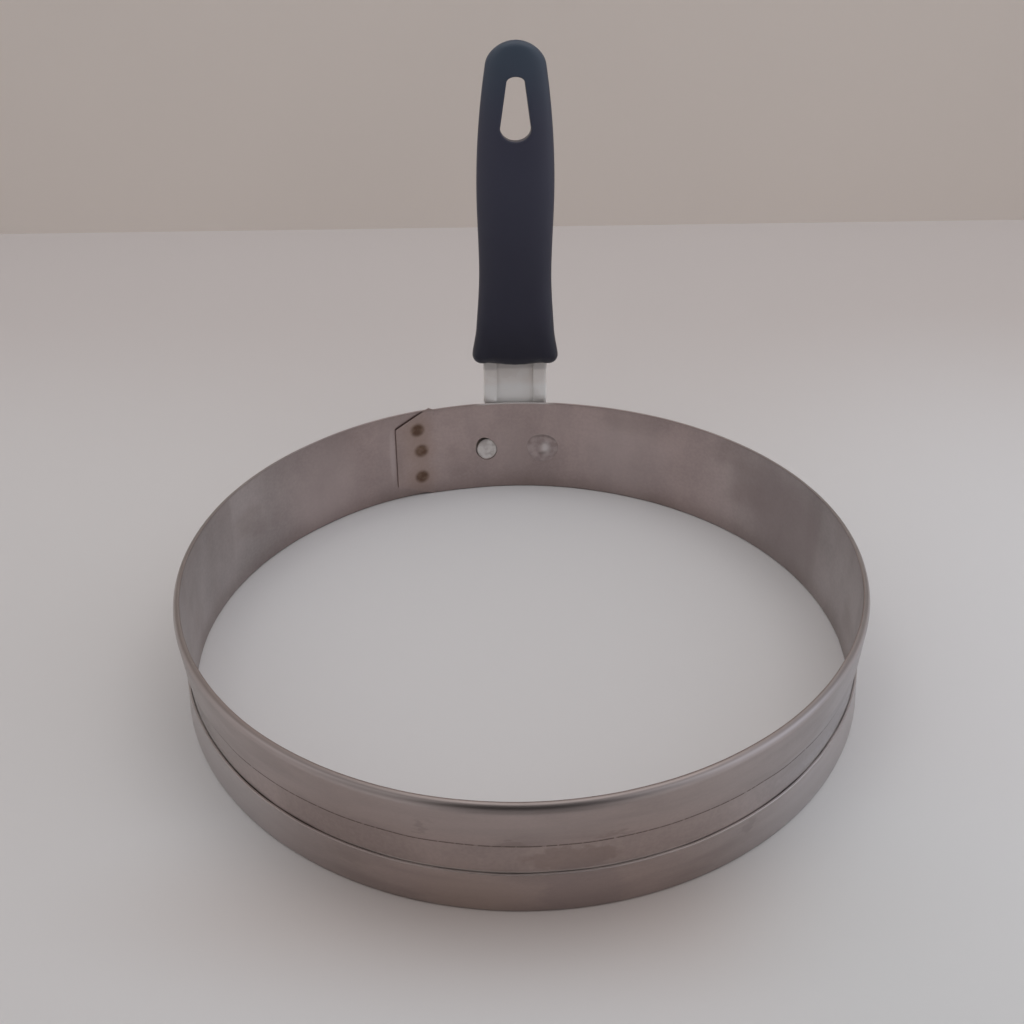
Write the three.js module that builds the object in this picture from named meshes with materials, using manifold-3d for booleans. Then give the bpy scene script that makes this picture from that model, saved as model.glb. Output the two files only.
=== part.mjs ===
// Steel ring for shaping pancakes, with a riveted handle. Millimetres, +Z up.
// The origin is on the ring's axis, in the plane that the ring stands on. The handle is on the +Y side.
import * as THREE from 'three';
import { mergeVertices } from 'three/addons/utils/BufferGeometryUtils.js';
import Module from 'manifold-3d';

const wasm = await Module();
wasm.setup();

// Ring: one strip of steel whose long edges are both folded outward
const ringInnerRadius = 93.1;
const ringHeight = 33.5;
const stripThickness = 0.5;
const rimFoldGap = 0.9;
const rimInnerRound = 0.2;
const rimCrownHeight = 2;
const rimFlapDepth = 13.1;
const rimFlapEdgeGap = 0.12;
const footFoldGap = 0.9;
const footFlapHeight = 11.4;
const footFlapEdgeGap = 0.12;
const footCornerRadius = 0.65;
const sheetEdgeBreak = 0.12;
const stripSteps = 104;

// Lap joint of the strip's ends, in lengths along the inner wall
const hemToFoot = 13.4;
const lapRelief = 1.2;
const lapLength = 12.6;
const lapGap = 0.3;
const lapBlend = 36;
const clipLength = 12.2;
const clipRise = 5.2;
const tonguePeak = 0.8;
const tongueInset = 0.05;
const tongueRoot = 2.5;
const weldDiameter = 4.5;
const weldInset = 4.4;
const weldDent = 0.18;
const weldHeightShares = [0.23, 0.54, 0.78];

// Rivets
const rivetPitch = 19.6;
const rivetShank = 6.4;
const rivetClearance = 0.45;
const rivetHeadDiameter = 10.6;
const rivetHeadHeight = 2.1;
const rolledHeadDiameter = 11;
const rolledHeadHeight = 0.5;
const rolledHeadCup = 0.9;
const rivetSunkDepth = 0.35;
const rivetSegments = 24;

// Tang: sheet steel, wide at the riveted foot, with folded edges above the rim
const tangThickness = 1;
const tangWidth = 21.8;
const tangFlapWidth = 4.7;
const tangFoldGap = 0.25;
const tangFootWidth = 30;
const tangFootBottom = 5;
const tangFootCorner = 5;
const tangTaperStart = 21.5;
const tangTaperTop = 1.5;
const tangFlapClear = 0.3;
const tangFlapSlant = 0.4;
const tangBendStart = 4;
const tangBendRadius = 14;
const handleLean = THREE.MathUtils.degToRad(10);
const handleTilt = THREE.MathUtils.degToRad(0.72);
const tangInGrip = 62;
const tangSeamInset = 0.02;
const seatGap = 0.3;

// Grip: moulded plastic, measured from its mouth
const gripAboveRim = 13.75;
const gripLength = 102.5;
const gripLip = 1.17;
const gripLipLength = 12;
const gripFlare = 1.63;
const gripWaistAt = 31.5;
const gripWaistHalfWidth = 12.05;
const gripBellyAt = 57.5;
const gripBellyHalfWidth = 12.7;
const gripTaper = 4.3;
const gripMouthCorner = 3.8;
const gripEndLength = 6.9;
const gripMouthHalfDepth = 5.6;
const gripWaistHalfDepth = 4.8;
const gripEndHalfDepth = 4.1;
const gripEdgeRound = 2.6;
const gripSquareness = 2.7;
const gripMouthSquareness = 4.5;
const gripSlotClearance = 0.3;
const gripSteps = 34;

// Hang hole in the grip, measured down from the grip's top
const hangHoleTop = 10.8;
const hangHoleLength = 19.3;
const hangHoleNarrow = 2.95;
const hangHoleWide = 4.95;
const hangHoleChamfer = 0.45;

// Sizes that follow from those above
const footOuterRadius = ringInnerRadius + 2 * stripThickness + footFoldGap;
const rimOuterRadius = ringInnerRadius + 2 * stripThickness + rimFoldGap;
const tangInnerRadius = Math.max(footOuterRadius, rimOuterRadius) + seatGap;
const tangMidRadius = tangInnerRadius + tangThickness / 2;
const rivetHeight = (footFlapHeight + ringHeight - rimFlapDepth) / 2;
const rivetAngle = Math.asin(rivetPitch / 2 / ringInnerRadius);
const arcAngle = (length) => length / ringInnerRadius;
const hemEnd = tangFootWidth / 2 + hemToFoot;
const outerEnd = hemEnd + lapRelief;
const tongueEnd = outerEnd + lapLength;
const lapStep = stripThickness + lapGap;

// A closed geometry as a solid for joining and cutting
function solid(geometry) {
  geometry.deleteAttribute('normal');
  geometry.deleteAttribute('uv');
  const merged = mergeVertices(geometry, 1e-4);
  return new wasm.Manifold(new wasm.Mesh({
    numProp: 3,
    vertProperties: new Float32Array(merged.attributes.position.array),
    triVerts: new Uint32Array(merged.index.array),
  }));
}

// A solid as a geometry again
function geometryOf(body) {
  const mesh = body.getMesh();
  const geometry = new THREE.BufferGeometry();
  geometry.setAttribute('position', new THREE.BufferAttribute(new Float32Array(mesh.vertProperties), 3));
  geometry.setIndex(new THREE.BufferAttribute(new Uint32Array(mesh.triVerts), 1));
  geometry.computeVertexNormals();
  return geometry;
}

// Moves every vertex of a geometry by a formula
function reshape(geometry, formula) {
  const position = geometry.attributes.position;
  const point = new THREE.Vector3();
  for (let i = 0; i < position.count; i += 1) {
    formula(point.fromBufferAttribute(position, i));
    position.setXYZ(i, point.x, point.y, point.z);
  }
  return geometry;
}

// Points along an arc of a profile, round or as an ellipse of its own rise
function arc(x, y, radius, from, to, parts, rise = radius) {
  const curve = new THREE.EllipseCurve(x, y, radius, rise, from, to, to < from, 0);
  return curve.getPoints(parts);
}

// A rod along a ring radius, at an angle from the handle and a height
function radialRod(diameter, from, to, angle, height, segments = 24) {
  const geometry = new THREE.CylinderGeometry(diameter / 2, diameter / 2, to - from, segments);
  geometry.translate(0, (from + to) / 2, height);
  geometry.rotateZ(angle);
  return solid(geometry);
}

// Route of the strip: a circle that steps outward where its first end lies over the tongue
class StripRoute extends THREE.Curve {
  getPoint(t, target = new THREE.Vector3()) {
    const start = arcAngle(outerEnd);
    const angle = THREE.MathUtils.lerp(start, 2 * Math.PI + arcAngle(hemEnd), t);
    const over = THREE.MathUtils.smoothstep(angle, arcAngle(tongueEnd + 2), arcAngle(tongueEnd + lapBlend));
    const radius = ringInnerRadius + lapStep * (1 - over);
    return target.set(-radius * Math.sin(angle), radius * Math.cos(angle), 0);
  }
}

// Section of the strip as radius and height: wall, rim fold with its flap, foot fold with its flap
function stripSection() {
  const wallIn = ringInnerRadius;
  const wallOut = wallIn + stripThickness;
  const crownX = wallIn + rimInnerRound;
  const crownZ = ringHeight - rimCrownHeight;
  const rimX = wallOut + rimFoldGap / 2;
  const rimEdge = wallOut + rimFlapEdgeGap;
  const rimEdgeZ = ringHeight - rimFlapDepth;
  const footX = wallOut + footFoldGap / 2;
  const footZ = stripThickness + footFoldGap / 2;
  const flapOut = wallOut + footFoldGap + stripThickness;
  const footEdge = wallOut + footFlapEdgeGap;
  return [
    ...arc(crownX, ringHeight - rimInnerRound, rimInnerRound, Math.PI, Math.PI / 2, 3),
    ...arc(crownX, crownZ, rimOuterRadius - crownX, Math.PI / 2, 0, 6, rimCrownHeight).slice(1),
    new THREE.Vector2(rimEdge + stripThickness, rimEdgeZ + sheetEdgeBreak),
    new THREE.Vector2(rimEdge + stripThickness - sheetEdgeBreak, rimEdgeZ),
    new THREE.Vector2(rimEdge, rimEdgeZ),
    ...arc(rimX, crownZ, rimFoldGap / 2, 0, Math.PI, 4, rimCrownHeight - 1.4 * stripThickness),
    ...arc(footX, footZ, footFoldGap / 2, Math.PI, 2 * Math.PI, 4),
    new THREE.Vector2(footEdge, footFlapHeight),
    new THREE.Vector2(footEdge + stripThickness - sheetEdgeBreak, footFlapHeight),
    new THREE.Vector2(footEdge + stripThickness, footFlapHeight - sheetEdgeBreak),
    ...arc(flapOut - footCornerRadius, footCornerRadius, footCornerRadius, 0, -Math.PI / 2, 3),
    ...arc(wallIn + footCornerRadius, footCornerRadius, footCornerRadius, -Math.PI / 2, -Math.PI, 3),
  ];
}

// The inner end of the strip: a single sheet with clipped corners, cut out of a thin cylinder
function tongue() {
  const inner = ringInnerRadius + tongueInset;
  const outer = ringInnerRadius + stripThickness - tongueInset;
  const top = ringHeight + tonguePeak;
  const low = sheetEdgeBreak;
  const sheet = solid(new THREE.LatheGeometry([
    new THREE.Vector2(inner, -1),
    new THREE.Vector2(outer, -1),
    new THREE.Vector2(outer, top + 1),
    new THREE.Vector2(inner, top + 1),
    new THREE.Vector2(inner, -1),
  ], 180).rotateX(Math.PI / 2));
  const middle = (hemEnd + tongueEnd) / 2;
  const root = hemEnd - tongueRoot - middle;
  const neck = hemEnd + sheetEdgeBreak - middle;
  const end = tongueEnd - middle;
  const neckLow = 2 * footCornerRadius + low;
  const neckHigh = ringHeight - rimCrownHeight;
  const outline = new THREE.Shape([
    new THREE.Vector2(-root, neckLow),
    new THREE.Vector2(-neck, neckLow),
    new THREE.Vector2(-neck, low),
    new THREE.Vector2(clipLength - end, low),
    new THREE.Vector2(-end, clipRise),
    new THREE.Vector2(-end, ringHeight - clipRise),
    new THREE.Vector2(clipLength - end, top),
    new THREE.Vector2(-neck, ringHeight),
    new THREE.Vector2(-neck, neckHigh),
    new THREE.Vector2(-root, neckHigh),
  ]);
  const depth = 20;
  const punch = new THREE.ExtrudeGeometry(outline, { depth, bevelEnabled: false });
  punch.rotateX(Math.PI / 2);
  punch.translate(0, ringInnerRadius + depth / 2, 0);
  punch.rotateZ(arcAngle(middle));
  return sheet.intersect(solid(punch));
}

// Ring: the folded strip, its tongue, the spot welds between the two ends and the rivet holes
function ringStrip() {
  const section = stripSection().map((p) => new THREE.Vector2(-p.y, ringInnerRadius - p.x));
  let body = solid(new THREE.ExtrudeGeometry(new THREE.Shape(section), {
    steps: stripSteps,
    extrudePath: new StripRoute(),
  }));
  body = body.add(tongue());
  const weldAngle = arcAngle(outerEnd + weldInset);
  for (const share of weldHeightShares) {
    const height = share * ringHeight;
    const nuggetFrom = ringInnerRadius + stripThickness / 2;
    const nuggetTo = ringInnerRadius + lapStep + stripThickness / 2;
    body = body.add(radialRod(weldDiameter, nuggetFrom, nuggetTo, weldAngle, height));
    const dentTo = ringInnerRadius + tongueInset + weldDent;
    body = body.subtract(radialRod(weldDiameter, ringInnerRadius - 2, dentTo, weldAngle, height));
  }
  for (const side of [-1, 1]) {
    const hole = rivetShank + 2 * rivetClearance;
    body = body.subtract(radialRod(hole, ringInnerRadius - 4, tangInnerRadius, side * rivetAngle, rivetHeight));
  }
  return geometryOf(body);
}

// Middle line of the tang by length from the foot's bottom edge: up the ring, a bend, then along the lean
const bendFrom = ringHeight + tangBendStart - tangFootBottom;
const bendTo = bendFrom + tangBendRadius * handleLean;
function tangSpine(length) {
  const turned = THREE.MathUtils.clamp((length - bendFrom) / tangBendRadius, 0, handleLean);
  const straight = Math.max(0, length - bendTo);
  const rise = Math.min(length, bendFrom);
  return {
    y: tangMidRadius + tangBendRadius * (1 - Math.cos(turned)) + straight * Math.sin(turned),
    z: tangFootBottom + rise + tangBendRadius * Math.sin(turned) + straight * Math.cos(turned),
    lean: turned,
  };
}
const gripMouth = bendFrom + gripAboveRim - tangBendStart;
const tangLength = gripMouth + tangInGrip;
const foldOuterRadius = tangThickness + tangFoldGap / 2;
const plateHalfWidth = tangWidth / 2 - foldOuterRadius;

// Puts a point given by width, offset towards the back and length onto the tang's middle line
function onSpine(point, across, back, length) {
  const spine = tangSpine(length);
  point.set(across, spine.y + back * Math.cos(spine.lean), spine.z - back * Math.sin(spine.lean));
}

// Flat sheet of the tang: wide and curved to the ring at the foot, narrow and flat above the rim
function tangPlate() {
  const parts = 10;
  const edge = [];
  for (let i = 0; i <= parts; i += 1) {
    edge.push(new THREE.Vector2(-1 + (2 * i) / parts, -tangThickness / 2));
  }
  for (let i = 0; i <= parts; i += 1) {
    edge.push(new THREE.Vector2(1 - (2 * i) / parts, tangThickness / 2));
  }
  const steps = 36;
  const geometry = new THREE.ExtrudeGeometry(new THREE.Shape(edge), { depth: 1, steps, bevelEnabled: false });
  const taperTop = ringHeight + tangTaperTop;
  reshape(geometry, (point) => {
    const { x, y } = point;
    const length = tangLength * point.z ** 1.6;
    const height = tangSpine(length).z;
    const taper = THREE.MathUtils.smoothstep(height, tangTaperStart, taperTop);
    const corner = Math.max(0, tangFootCorner - length);
    const rounding = tangFootCorner - Math.sqrt(tangFootCorner ** 2 - corner ** 2);
    const half = THREE.MathUtils.lerp(tangFootWidth / 2, plateHalfWidth, taper) - rounding;
    const curl = 1 - THREE.MathUtils.smoothstep(height, ringHeight - 4, taperTop);
    const across = x * half;
    const slope = Math.asin(across / tangMidRadius) * curl;
    onSpine(point, across + y * Math.sin(slope), y * Math.cos(slope), length);
    point.y -= curl * (tangMidRadius - Math.sqrt(tangMidRadius ** 2 - across ** 2));
  });
  return solid(geometry);
}

// One folded edge of the tang, on the front, with its lower end cut on a slant above the rim
function tangFlap(side) {
  const centre = plateHalfWidth;
  const middle = (tangThickness + tangFoldGap) / 2;
  const outer = foldOuterRadius - tangSeamInset;
  const inner = tangFoldGap / 2 + tangSeamInset;
  const free = tangWidth / 2 - tangFlapWidth;
  const quarter = Math.PI / 2;
  const outline = [
    ...arc(centre, -middle, outer, quarter, -quarter, 6),
    new THREE.Vector2(free, -middle - outer),
    new THREE.Vector2(free, -middle - inner),
    ...arc(centre, -middle, inner, -quarter, quarter, 4),
    new THREE.Vector2(centre - tangThickness, -middle + inner),
    new THREE.Vector2(centre - tangThickness, -middle + outer),
  ];
  const shape = new THREE.Shape(outline.map((p) => new THREE.Vector2(side * p.x, p.y)));
  const geometry = new THREE.ExtrudeGeometry(shape, { depth: 1, steps: 9, bevelEnabled: false });
  const lowest = ringHeight + tangFlapClear - tangFootBottom;
  reshape(geometry, (point) => {
    const { x, y } = point;
    const inward = THREE.MathUtils.clamp((centre - Math.abs(x)) / (centre - free), 0, 1);
    const from = lowest + tangFlapSlant * inward;
    onSpine(point, x, y, THREE.MathUtils.lerp(from, tangLength, point.z ** 1.5));
  });
  return solid(geometry);
}

function handleTang() {
  let body = tangPlate().add(tangFlap(1)).add(tangFlap(-1));
  for (const side of [-1, 1]) {
    const hole = rivetShank + 2 * rivetClearance;
    const through = tangMidRadius + 3 * tangThickness;
    body = body.subtract(radialRod(hole, ringInnerRadius, through, side * rivetAngle, rivetHeight));
  }
  return geometryOf(body);
}

// Rivet turned about its own axis: a domed head outside, and inside either a rolled head or a sunk end
function rivet(rolled) {
  const headSeat = tangInnerRadius + tangThickness + seatGap;
  const headRadius = rivetHeadDiameter / 2;
  const crown = (headRadius ** 2 + rivetHeadHeight ** 2) / (2 * rivetHeadHeight);
  const spread = Math.asin(headRadius / crown);
  const shank = rivetShank / 2;
  const rolledRadius = rolledHeadDiameter / 2;
  const chordDrop = ringInnerRadius - Math.sqrt(ringInnerRadius ** 2 - rolledRadius ** 2);
  const rolledSeat = ringInnerRadius - chordDrop - seatGap / 2;
  const rolledFace = rolledSeat - rolledHeadHeight;
  const sunkFace = ringInnerRadius + rivetSunkDepth;
  const rolledEnd = [
    new THREE.Vector2(0, rolledFace + rolledHeadCup),
    new THREE.Vector2(shank * 0.6, rolledFace + rolledHeadCup),
    new THREE.Vector2(shank, rolledFace),
    ...arc(rolledRadius - rolledHeadHeight / 2, rolledSeat - rolledHeadHeight / 2,
      rolledHeadHeight / 2, -Math.PI / 2, Math.PI / 2, 4),
    new THREE.Vector2(shank, rolledSeat),
  ];
  const sunkEnd = [
    new THREE.Vector2(0, sunkFace),
    new THREE.Vector2(shank - sheetEdgeBreak, sunkFace),
    new THREE.Vector2(shank, sunkFace + sheetEdgeBreak),
  ];
  const dome = arc(0, headSeat + rivetHeadHeight - crown, crown, Math.PI / 2 - spread, Math.PI / 2, 5);
  const profile = [
    ...(rolled ? rolledEnd : sunkEnd),
    new THREE.Vector2(shank, headSeat),
    ...dome.slice(0, -1),
    new THREE.Vector2(0, headSeat + rivetHeadHeight),
  ];
  return geometryOf(solid(new THREE.LatheGeometry(profile, rivetSegments)));
}

// Half width of the grip by length from its mouth: lip, flare, waist, belly, taper and round end
function gripHalfWidth(length) {
  const { smoothstep, clamp } = THREE.MathUtils;
  const lip = 1 - smoothstep(length, 0, gripLipLength);
  const flare = 1 - smoothstep(length, 0, gripWaistAt);
  const belly = smoothstep(length, gripWaistAt, gripBellyAt);
  const taper = clamp((length - gripBellyAt) / (gripLength - gripBellyAt), 0, 1);
  const side = gripWaistHalfWidth + gripLip * lip + gripFlare * flare
    + belly * (gripBellyHalfWidth - gripWaistHalfWidth) - gripTaper * taper ** 2;
  const corner = Math.max(0, gripMouthCorner - length);
  const mouth = gripMouthCorner - Math.sqrt(gripMouthCorner ** 2 - corner ** 2);
  const past = Math.max(0, length - (gripLength - gripEndLength)) / gripEndLength;
  return (side - mouth) * Math.sqrt(Math.max(0.01, 1 - past ** 2));
}

// Half depth of the grip, rounded over at both ends
function gripHalfDepth(length) {
  const { smoothstep, lerp } = THREE.MathUtils;
  const flare = 1 - smoothstep(length, 0, 0.3 * gripLength);
  const end = smoothstep(length, 0.55 * gripLength, gripLength);
  const side = lerp(gripWaistHalfDepth, gripMouthHalfDepth, flare) + end * (gripEndHalfDepth - gripWaistHalfDepth);
  const toEnd = Math.min(length, gripLength - length);
  const near = Math.max(0, gripEdgeRound - toEnd);
  return side - (gripEdgeRound - Math.sqrt(gripEdgeRound ** 2 - near ** 2)) * 0.8;
}

// Outline of the hang hole in the grip's middle plane: two flat arcs joined by straight sides
function hangHoleOutline() {
  const top = gripLength - hangHoleTop;
  const low = top - hangHoleLength;
  const shape = new THREE.Shape();
  const narrowZ = top - 0.62 * hangHoleNarrow;
  const wideZ = low + 0.8 * hangHoleWide;
  shape.absellipse(0, narrowZ, hangHoleNarrow, top - narrowZ, 0, Math.PI, false, 0);
  shape.absellipse(0, wideZ, hangHoleWide, wideZ - low, Math.PI, 2 * Math.PI, false, 0);
  return shape;
}

function grip() {
  const parts = 36;
  const ring = [];
  for (let i = 0; i < parts; i += 1) {
    const angle = (2 * Math.PI * i) / parts;
    ring.push(new THREE.Vector2(Math.cos(angle), Math.sin(angle)));
  }
  const squared = (share, power) => Math.sign(share) * Math.abs(share) ** power;
  const loft = new THREE.ExtrudeGeometry(new THREE.Shape(ring), { depth: 1, steps: gripSteps, bevelEnabled: false });
  reshape(loft, (point) => {
    const share = (1 - Math.cos(Math.PI * point.z)) / 2;
    const length = gripLength * THREE.MathUtils.lerp(point.z, share, 0.75);
    const flare = 1 - THREE.MathUtils.smoothstep(length, 0, 0.3 * gripLength);
    const power = 2 / THREE.MathUtils.lerp(gripSquareness, gripMouthSquareness, flare);
    point.set(squared(point.x, power) * gripHalfWidth(length), squared(point.y, power) * gripHalfDepth(length), length);
  });
  let body = solid(loft);

  const slotHalf = new THREE.Vector2(tangWidth / 2, foldOuterRadius).addScalar(gripSlotClearance);
  const slotDepth = tangInGrip + gripSlotClearance;
  const slot = new THREE.BoxGeometry(2 * slotHalf.x, 2 * slotHalf.y, 2 * slotDepth);
  body = body.subtract(solid(slot));

  const reach = 4 * gripMouthHalfDepth;
  const through = new THREE.ExtrudeGeometry(hangHoleOutline(), { depth: reach, bevelEnabled: false, curveSegments: 8 });
  through.translate(0, 0, -reach / 2);
  through.rotateX(Math.PI / 2);
  body = body.subtract(solid(through));

  const face = gripHalfDepth(gripLength - hangHoleTop - hangHoleLength / 2);
  for (const side of [0, Math.PI]) {
    const sink = new THREE.ExtrudeGeometry(hangHoleOutline(), {
      depth: reach,
      bevelThickness: hangHoleChamfer,
      bevelSize: hangHoleChamfer,
      bevelSegments: 2,
      curveSegments: 8,
    });
    sink.translate(0, 0, face);
    sink.rotateX(Math.PI / 2);
    sink.rotateZ(side);
    body = body.subtract(solid(sink));
  }
  return geometryOf(body);
}

// Materials: bare stained steel, galvanised sheet, dark plastic
const ringSteel = new THREE.MeshStandardMaterial({ color: '#8b817d', roughness: 0.38, metalness: 1 });
const tangSteel = new THREE.MeshStandardMaterial({ color: '#b5b3b0', roughness: 0.48, metalness: 1 });
const rivetSteel = new THREE.MeshStandardMaterial({ color: '#a9a4a1', roughness: 0.42, metalness: 1 });
const gripPlastic = new THREE.MeshStandardMaterial({ color: '#2c2e36', roughness: 0.55, metalness: 0 });

function piece(name, geometry, material) {
  const mesh = new THREE.Mesh(geometry, material);
  mesh.name = name;
  return mesh;
}

const object = new THREE.Group();
object.add(piece('ring_strip', ringStrip(), ringSteel));

for (const [name, side, rolled] of [['rivet_left', 1, false], ['rivet_right', -1, true]]) {
  const mesh = piece(name, rivet(rolled), rivetSteel);
  mesh.position.z = rivetHeight;
  mesh.rotation.z = side * rivetAngle;
  object.add(mesh);
}

// The handle sits slightly askew on its rivets
const pivot = new THREE.Group();
pivot.position.z = rivetHeight;
pivot.rotation.y = handleTilt;
const handle = new THREE.Group();
handle.position.z = -rivetHeight;
handle.add(piece('handle_tang', handleTang(), tangSteel));

const gripMesh = piece('grip', grip(), gripPlastic);
const mouth = tangSpine(gripMouth);
const sectionMiddle = (tangThickness + tangFoldGap) / 2;
gripMesh.position.set(
  0,
  mouth.y - sectionMiddle * Math.cos(mouth.lean),
  mouth.z + sectionMiddle * Math.sin(mouth.lean),
);
gripMesh.rotation.x = -mouth.lean;
handle.add(gripMesh);
pivot.add(handle);
object.add(pivot);

export default object;
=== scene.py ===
"""Pancake ring: finished pieces, materials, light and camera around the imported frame."""
import math

import bmesh
import bpy
from mathutils import Matrix, Vector, noise


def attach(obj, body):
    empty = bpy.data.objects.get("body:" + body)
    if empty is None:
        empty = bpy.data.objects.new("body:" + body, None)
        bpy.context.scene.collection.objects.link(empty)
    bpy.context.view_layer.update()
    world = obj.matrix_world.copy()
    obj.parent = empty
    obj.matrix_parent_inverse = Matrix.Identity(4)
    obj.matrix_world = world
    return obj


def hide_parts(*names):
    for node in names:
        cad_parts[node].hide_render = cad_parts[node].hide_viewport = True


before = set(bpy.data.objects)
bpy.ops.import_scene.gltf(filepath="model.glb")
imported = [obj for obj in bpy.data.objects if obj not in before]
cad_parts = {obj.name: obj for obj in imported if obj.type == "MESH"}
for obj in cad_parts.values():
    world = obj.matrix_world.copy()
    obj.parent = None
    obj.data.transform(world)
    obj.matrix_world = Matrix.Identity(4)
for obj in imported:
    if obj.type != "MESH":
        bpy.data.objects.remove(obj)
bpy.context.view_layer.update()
scene = bpy.context.scene
scene.view_settings.view_transform = "Standard"

# Shapes are drawn in millimetres and scaled once to the frame's metres
MM = 0.001

# Ring: a strip whose long edges are both folded outward
RING_INNER = 93.1
RING_HEIGHT = 33.5
SHEET = 0.5
FOLD_GAP = 0.9
RIM_INNER_ROUND = 0.2
RIM_CROWN = 2.0
RIM_FLAP_EDGE = 20.4
FOOT_FLAP_EDGE = 11.4
FLAP_EDGE_GAP = 0.08
FOOT_CORNER = 0.65
EDGE_BREAK = 0.12
WALL_OUTER = RING_INNER + SHEET
RING_OUTER = WALL_OUTER + FOLD_GAP + SHEET
FLAPS_FROM = WALL_OUTER + 0.05
STRIP_STEPS = 420
FULL_TURN = 2 * math.pi * RING_INNER

# Lap of the strip's ends, as lengths along the inner wall from the handle
HEM_END = 28.4
OUTER_END = 29.6
TONGUE_END = 42.2
TONGUE_ROOT = 25.9
TONGUE_INSET = 0.012
TONGUE_PEAK = 0.8
TONGUE_LOW, NECK_LOW = 0.2, 1.4
CLIP_LENGTH = 12.2
CLIP_RISE = 5.2
LAP_STEP = 0.64
LAP_BLEND = 36.0
WELD_RADIUS = 2.35
WELD_DENT, WELD_LIP = 0.14, 0.03
WELDS = ((33.4, 7.7), (33.3, 18.2), (34.4, 26.6))

# The hand-bent ring is a little out of round, and its foot leans in and out; the handle's stretch stays true
ROUND_COS = (-0.29, 0.17)
ROUND_SIN = (0.55, 0.47)
LEAN_ALL = 0.19
LEAN_COS = (-0.2, 0.47)
LEAN_SIN = (0.5, -0.83)
SHAPE_TURN = math.radians(91.22)
WALL_SWELL, WALL_RIPPLE = 0.07, 0.025
RIM_FLAP_WAVE, FOOT_FLAP_WAVE = 0.10, 0.12

# Rivets
RIVET_HEIGHT = 15.9
RIVET_ANGLE = math.asin(9.8 / RING_INNER)
RIVET_SHANK = 3.2
RIVET_HOLE = 3.65
RIVET_HEAD = 5.3
RIVET_HEAD_RISE = 2.1
ROLLED_HEAD = 5.5
ROLLED_HEIGHT = 0.3
ROLLED_CUP = 0.4
ROLLED_GAP = 0.05
SUNK_DEPTH = 0.08
SUNK_END = 3.63
SUNK_TALL, SUNK_DROP = 1.13, 0.3
HAMMERED = 0.06
ROLLED_TILT, ROLLED_WAVE = 0.06, 0.03
# The left hole's tears and the flats of the end in it: size, angle and narrowness
HOLE_TEARS = ((0.75, 116, 6), (0.42, 160, 4), (-0.25, 40, 3))
SUNK_FLATS = ((0.07, 140, 2), (0.0675, 40, 3))
HOLE_STEPS = 48

# Tang
SEAT_GAP = 0.3
TANG_SHEET = 1.0
TANG_INNER = RING_OUTER + SEAT_GAP
TANG_HALF_WIDTH = 10.5
FLAP_DROP, FLAP_SIDE_DROP = 0.45, 0.4

# Grip, as lengths from its mouth, and its place on the leaning and slightly askew handle
GRIP_LENGTH = 102.5
GRIP_MOUTH = Vector((0, 96.666, 47.235))
GRIP_LEAN = math.radians(10)
HANDLE_TILT = math.radians(0.72)
WAIST_WIDE, BELLY_WIDE = 12.05, 12.7
WAIST_AT, BELLY_AT = 31.5, 57.5
LIP, LIP_LENGTH, FLARE, TAPER = 1.17, 12.0, 1.63, 4.3
MOUTH_DEEP, WAIST_DEEP, END_DEEP = 5.6, 4.8, 4.1
DEPTH_WAIST_AT, DEPTH_END_FROM = 0.3 * GRIP_LENGTH, 0.55 * GRIP_LENGTH
MOUTH_CORNER = 3.8
EDGE_ROUND, EDGE_DEPTH = 2.6, 0.8
END_LENGTH, END_BLUNT = 6.9, 0.0004
ROWS_AT_ENDS = 0.85
SQUARENESS, MOUTH_SQUARENESS = 2.7, 4.5
SLOT = Vector((22.4, 2.85, 62.3))
MOUTH_LIFT, MOUTH_LIFT_AT, MOUTH_LIFT_WIDE, MOUTH_LIFT_TALL = 0.85, 7.6, 3.2, 7
HOLE_TOP, HOLE_LENGTH = 10.8, 19.3
HOLE_NARROW, HOLE_WIDE = 2.95, 4.95
HOLE_TOP_ARCH, HOLE_LOW_ARCH = 0.62 * HOLE_NARROW, 0.8 * HOLE_WIDE
HOLE_ROUND = 0.45

# Stage
BACKDROP_AT = 0.386


# Helpers for shapes
def smooth(low, high, value):
    """Eases from 0 at low to 1 at high."""
    share = min(1.0, max(0.0, (value - low) / (high - low)))
    return share * share * (3 - 2 * share)


def mix(first, second, share):
    return first + (second - first) * share


def arc(x, y, wide, tall, start, end, parts):
    """Points of an elliptic arc, angles in quarter turns."""
    turns = [mix(start, end, i / parts) * math.pi / 2 for i in range(parts + 1)]
    return [(x + wide * math.cos(t), y + tall * math.sin(t)) for t in turns]


def run(start, end, parts):
    """Points of a straight stretch, without its two ends."""
    return [(mix(start[0], end[0], i / parts), mix(start[1], end[1], i / parts)) for i in range(1, parts)]


def bumps(angle, table):
    """Sum of rounded bumps round a circle, each by its size, its angle in degrees and its narrowness."""
    return sum(size * max(0.0, math.cos(angle - math.radians(toward))) ** narrow for size, toward, narrow in table)


def closed_loop(bm, points):
    """Vertices and edges of a closed outline."""
    verts = [bm.verts.new(p) for p in points]
    edges = [bm.edges.new((a, b)) for a, b in zip(verts, verts[1:] + verts[:1])]
    return verts, edges


def fill_open_ends(bm):
    bmesh.ops.edgeloop_fill(bm, edges=[e for e in bm.edges if e.is_boundary])


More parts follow.
